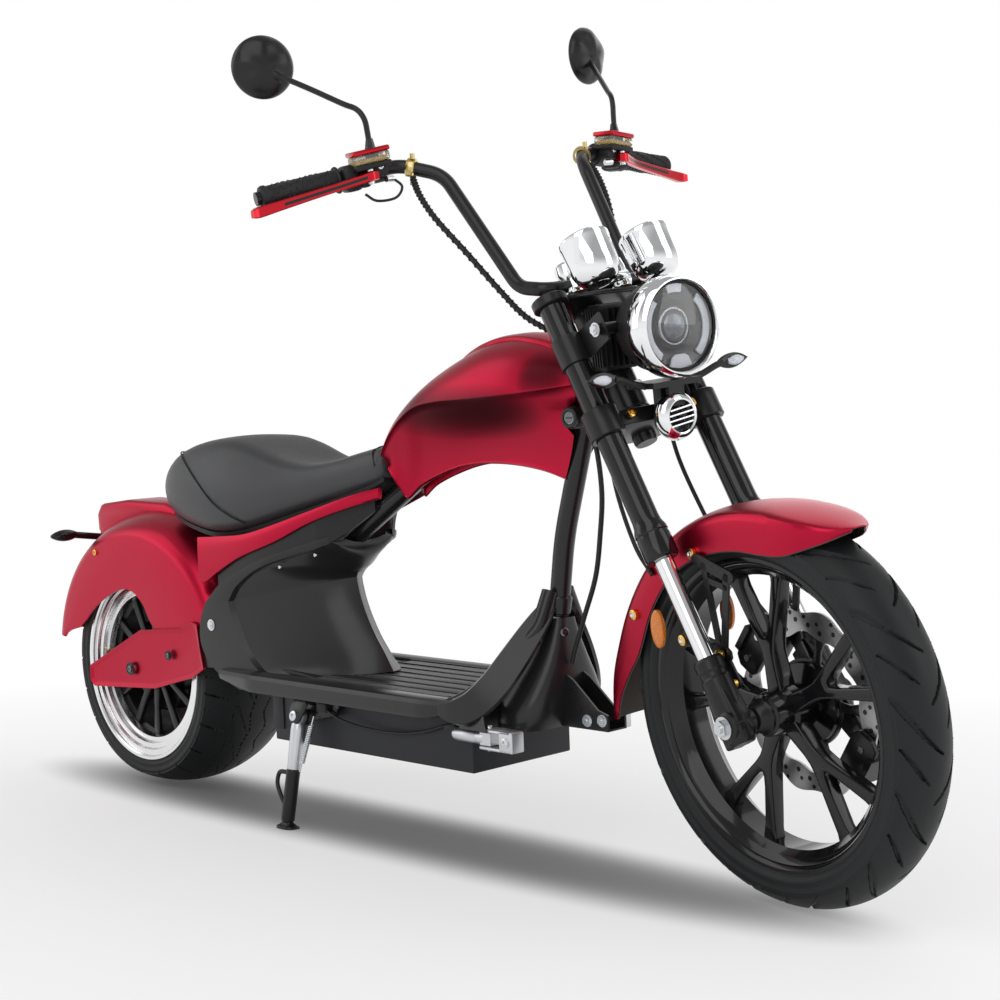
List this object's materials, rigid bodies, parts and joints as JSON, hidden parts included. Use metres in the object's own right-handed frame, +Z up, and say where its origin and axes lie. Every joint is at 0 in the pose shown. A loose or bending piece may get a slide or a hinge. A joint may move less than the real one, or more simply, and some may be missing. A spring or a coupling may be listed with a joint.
{
  "type": "electric chopper scooter",
  "caption": "Low electric chopper scooter with a long raked fork, wide rear tyre, teardrop tank shell, flat footboard over its battery and high swept handlebar, parked on its side stand.",
  "frame": {"origin": "bottom centre of the box round the parked machine, on the floor", "axes": "+X forward along the wheelbase, +Y to the machine's left, +Z up; the machine leans to its right onto its side stand"},
  "size_m": [2.108, 0.8472, 1.423],
  "materials": {
    "tyre_rubber": "matte",
    "black_gloss": "gloss",
    "black_satin": "satin",
    "candy_red": "satin",
    "polished_alloy": "polished",
    "zinc_steel": "brushed",
    "chrome_bright": "polished",
    "black_plastic": "matte",
    "gloss_plastic": "gloss",
    "grey_plastic": "matte",
    "grip_rubber": "matte",
    "hose_rubber": "satin",
    "seat_vinyl": "satin",
    "clear_lens": "polished",
    "red_lens": "polished",
    "orange_lens": "polished",
    "red_anodised": "satin"
  },
  "bodies": {
    "chassis": {"rear_axle": "zinc_steel", "head_tube": "black_satin", "backbone_tube": "black_satin", "down_tube": "black_satin", "deck_rails": "black_satin", "footboard": "grey_plastic", "battery_box": "black_plastic", "nose_cover": "black_plastic", "nose_bracket": "black_satin", "belly_fairing": "black_plastic", "rear_fender": "candy_red", "tail_lamp": "candy_red", "tail_lens": "red_lens", "rear_indicators": "gloss_plastic", "swing_arms": "black_satin", "arm_covers": "candy_red", "side_covers": "candy_red", "seat_base": "black_plastic", "seat": "seat_vinyl", "tank_shell": "candy_red", "tank_top_panel": "candy_red", "ignition_lock": "zinc_steel", "stand_bracket": "black_satin", "peg_clevises": "black_satin", "frame_cable": "hose_rubber"},
    "steering": {"front_axle": "zinc_steel", "fork_sliders": "black_gloss", "fork_stanchions": "chrome_bright", "fork_tubes": "black_gloss", "lower_yoke": "black_satin", "top_yoke": "black_satin", "handlebar": "black_satin", "bar_clamps": "chrome_bright", "grips": "grip_rubber", "bar_controls": "black_plastic", "brake_levers": "red_anodised", "mirrors": "gloss_plastic", "headlamp_bucket": "gloss_plastic", "headlamp_ring": "chrome_bright", "headlamp_lens": "clear_lens", "lamp_bracket": "black_satin", "horn": "chrome_bright", "dial_cups": "chrome_bright", "dial_faces": "gloss_plastic", "front_indicators": "gloss_plastic", "front_fender": "candy_red", "front_caliper": "black_satin", "fender_stays": "black_satin", "side_reflectors": "orange_lens", "brake_hoses": "hose_rubber"},
    "front_wheel": {"front_tyre": "tyre_rubber", "front_rim": "black_gloss", "brake_disc": "zinc_steel"},
    "rear_wheel": {"rear_tyre": "tyre_rubber", "rear_rim": "black_gloss"},
    "side_stand": {"stand_leg": "zinc_steel", "stand_spring": "zinc_steel"},
    "foot_peg_right": {"foot_peg_right": "polished_alloy"},
    "foot_peg_left": {"foot_peg_left": "polished_alloy"}
  },
  "joints": [
    {"name": "rear_wheel", "type": "hinge", "parent": "chassis", "child": "rear_wheel", "pos_m": [-0.74516, 0.02604, 0.23997], "axis": [0.0001, 0.9985, 0.0546], "continuous": true},
    {"name": "steering", "type": "hinge", "parent": "chassis", "child": "steering", "pos_m": [0.44219, -0.00454, 0.79801], "axis": [-0.4793, -0.0479, 0.8763], "range_deg": [-24.1, 45.9]},
    {"name": "front_wheel", "type": "hinge", "parent": "steering", "child": "front_wheel", "pos_m": [0.76426, 0.01561, 0.29061], "axis": [0.166, 0.9755, 0.1441], "continuous": true},
    {"name": "side_stand", "type": "hinge", "parent": "chassis", "child": "side_stand", "pos_m": [-0.2022, -0.11173, 0.19483], "axis": [0.0001, -0.9893, 0.1456], "range_deg": [-80, 0]},
    {"name": "foot_peg_right", "type": "hinge", "parent": "chassis", "child": "foot_peg_right", "pos_m": [0.26681, -0.10035, 0.206], "axis": [0.001, -0.0546, 0.9985], "range_deg": [0, 90]},
    {"name": "foot_peg_left", "type": "hinge", "parent": "chassis", "child": "foot_peg_left", "pos_m": [0.26683, 0.15527, 0.21997], "axis": [0.001, -0.0546, 0.9985], "range_deg": [-90, 0]}
  ]
}
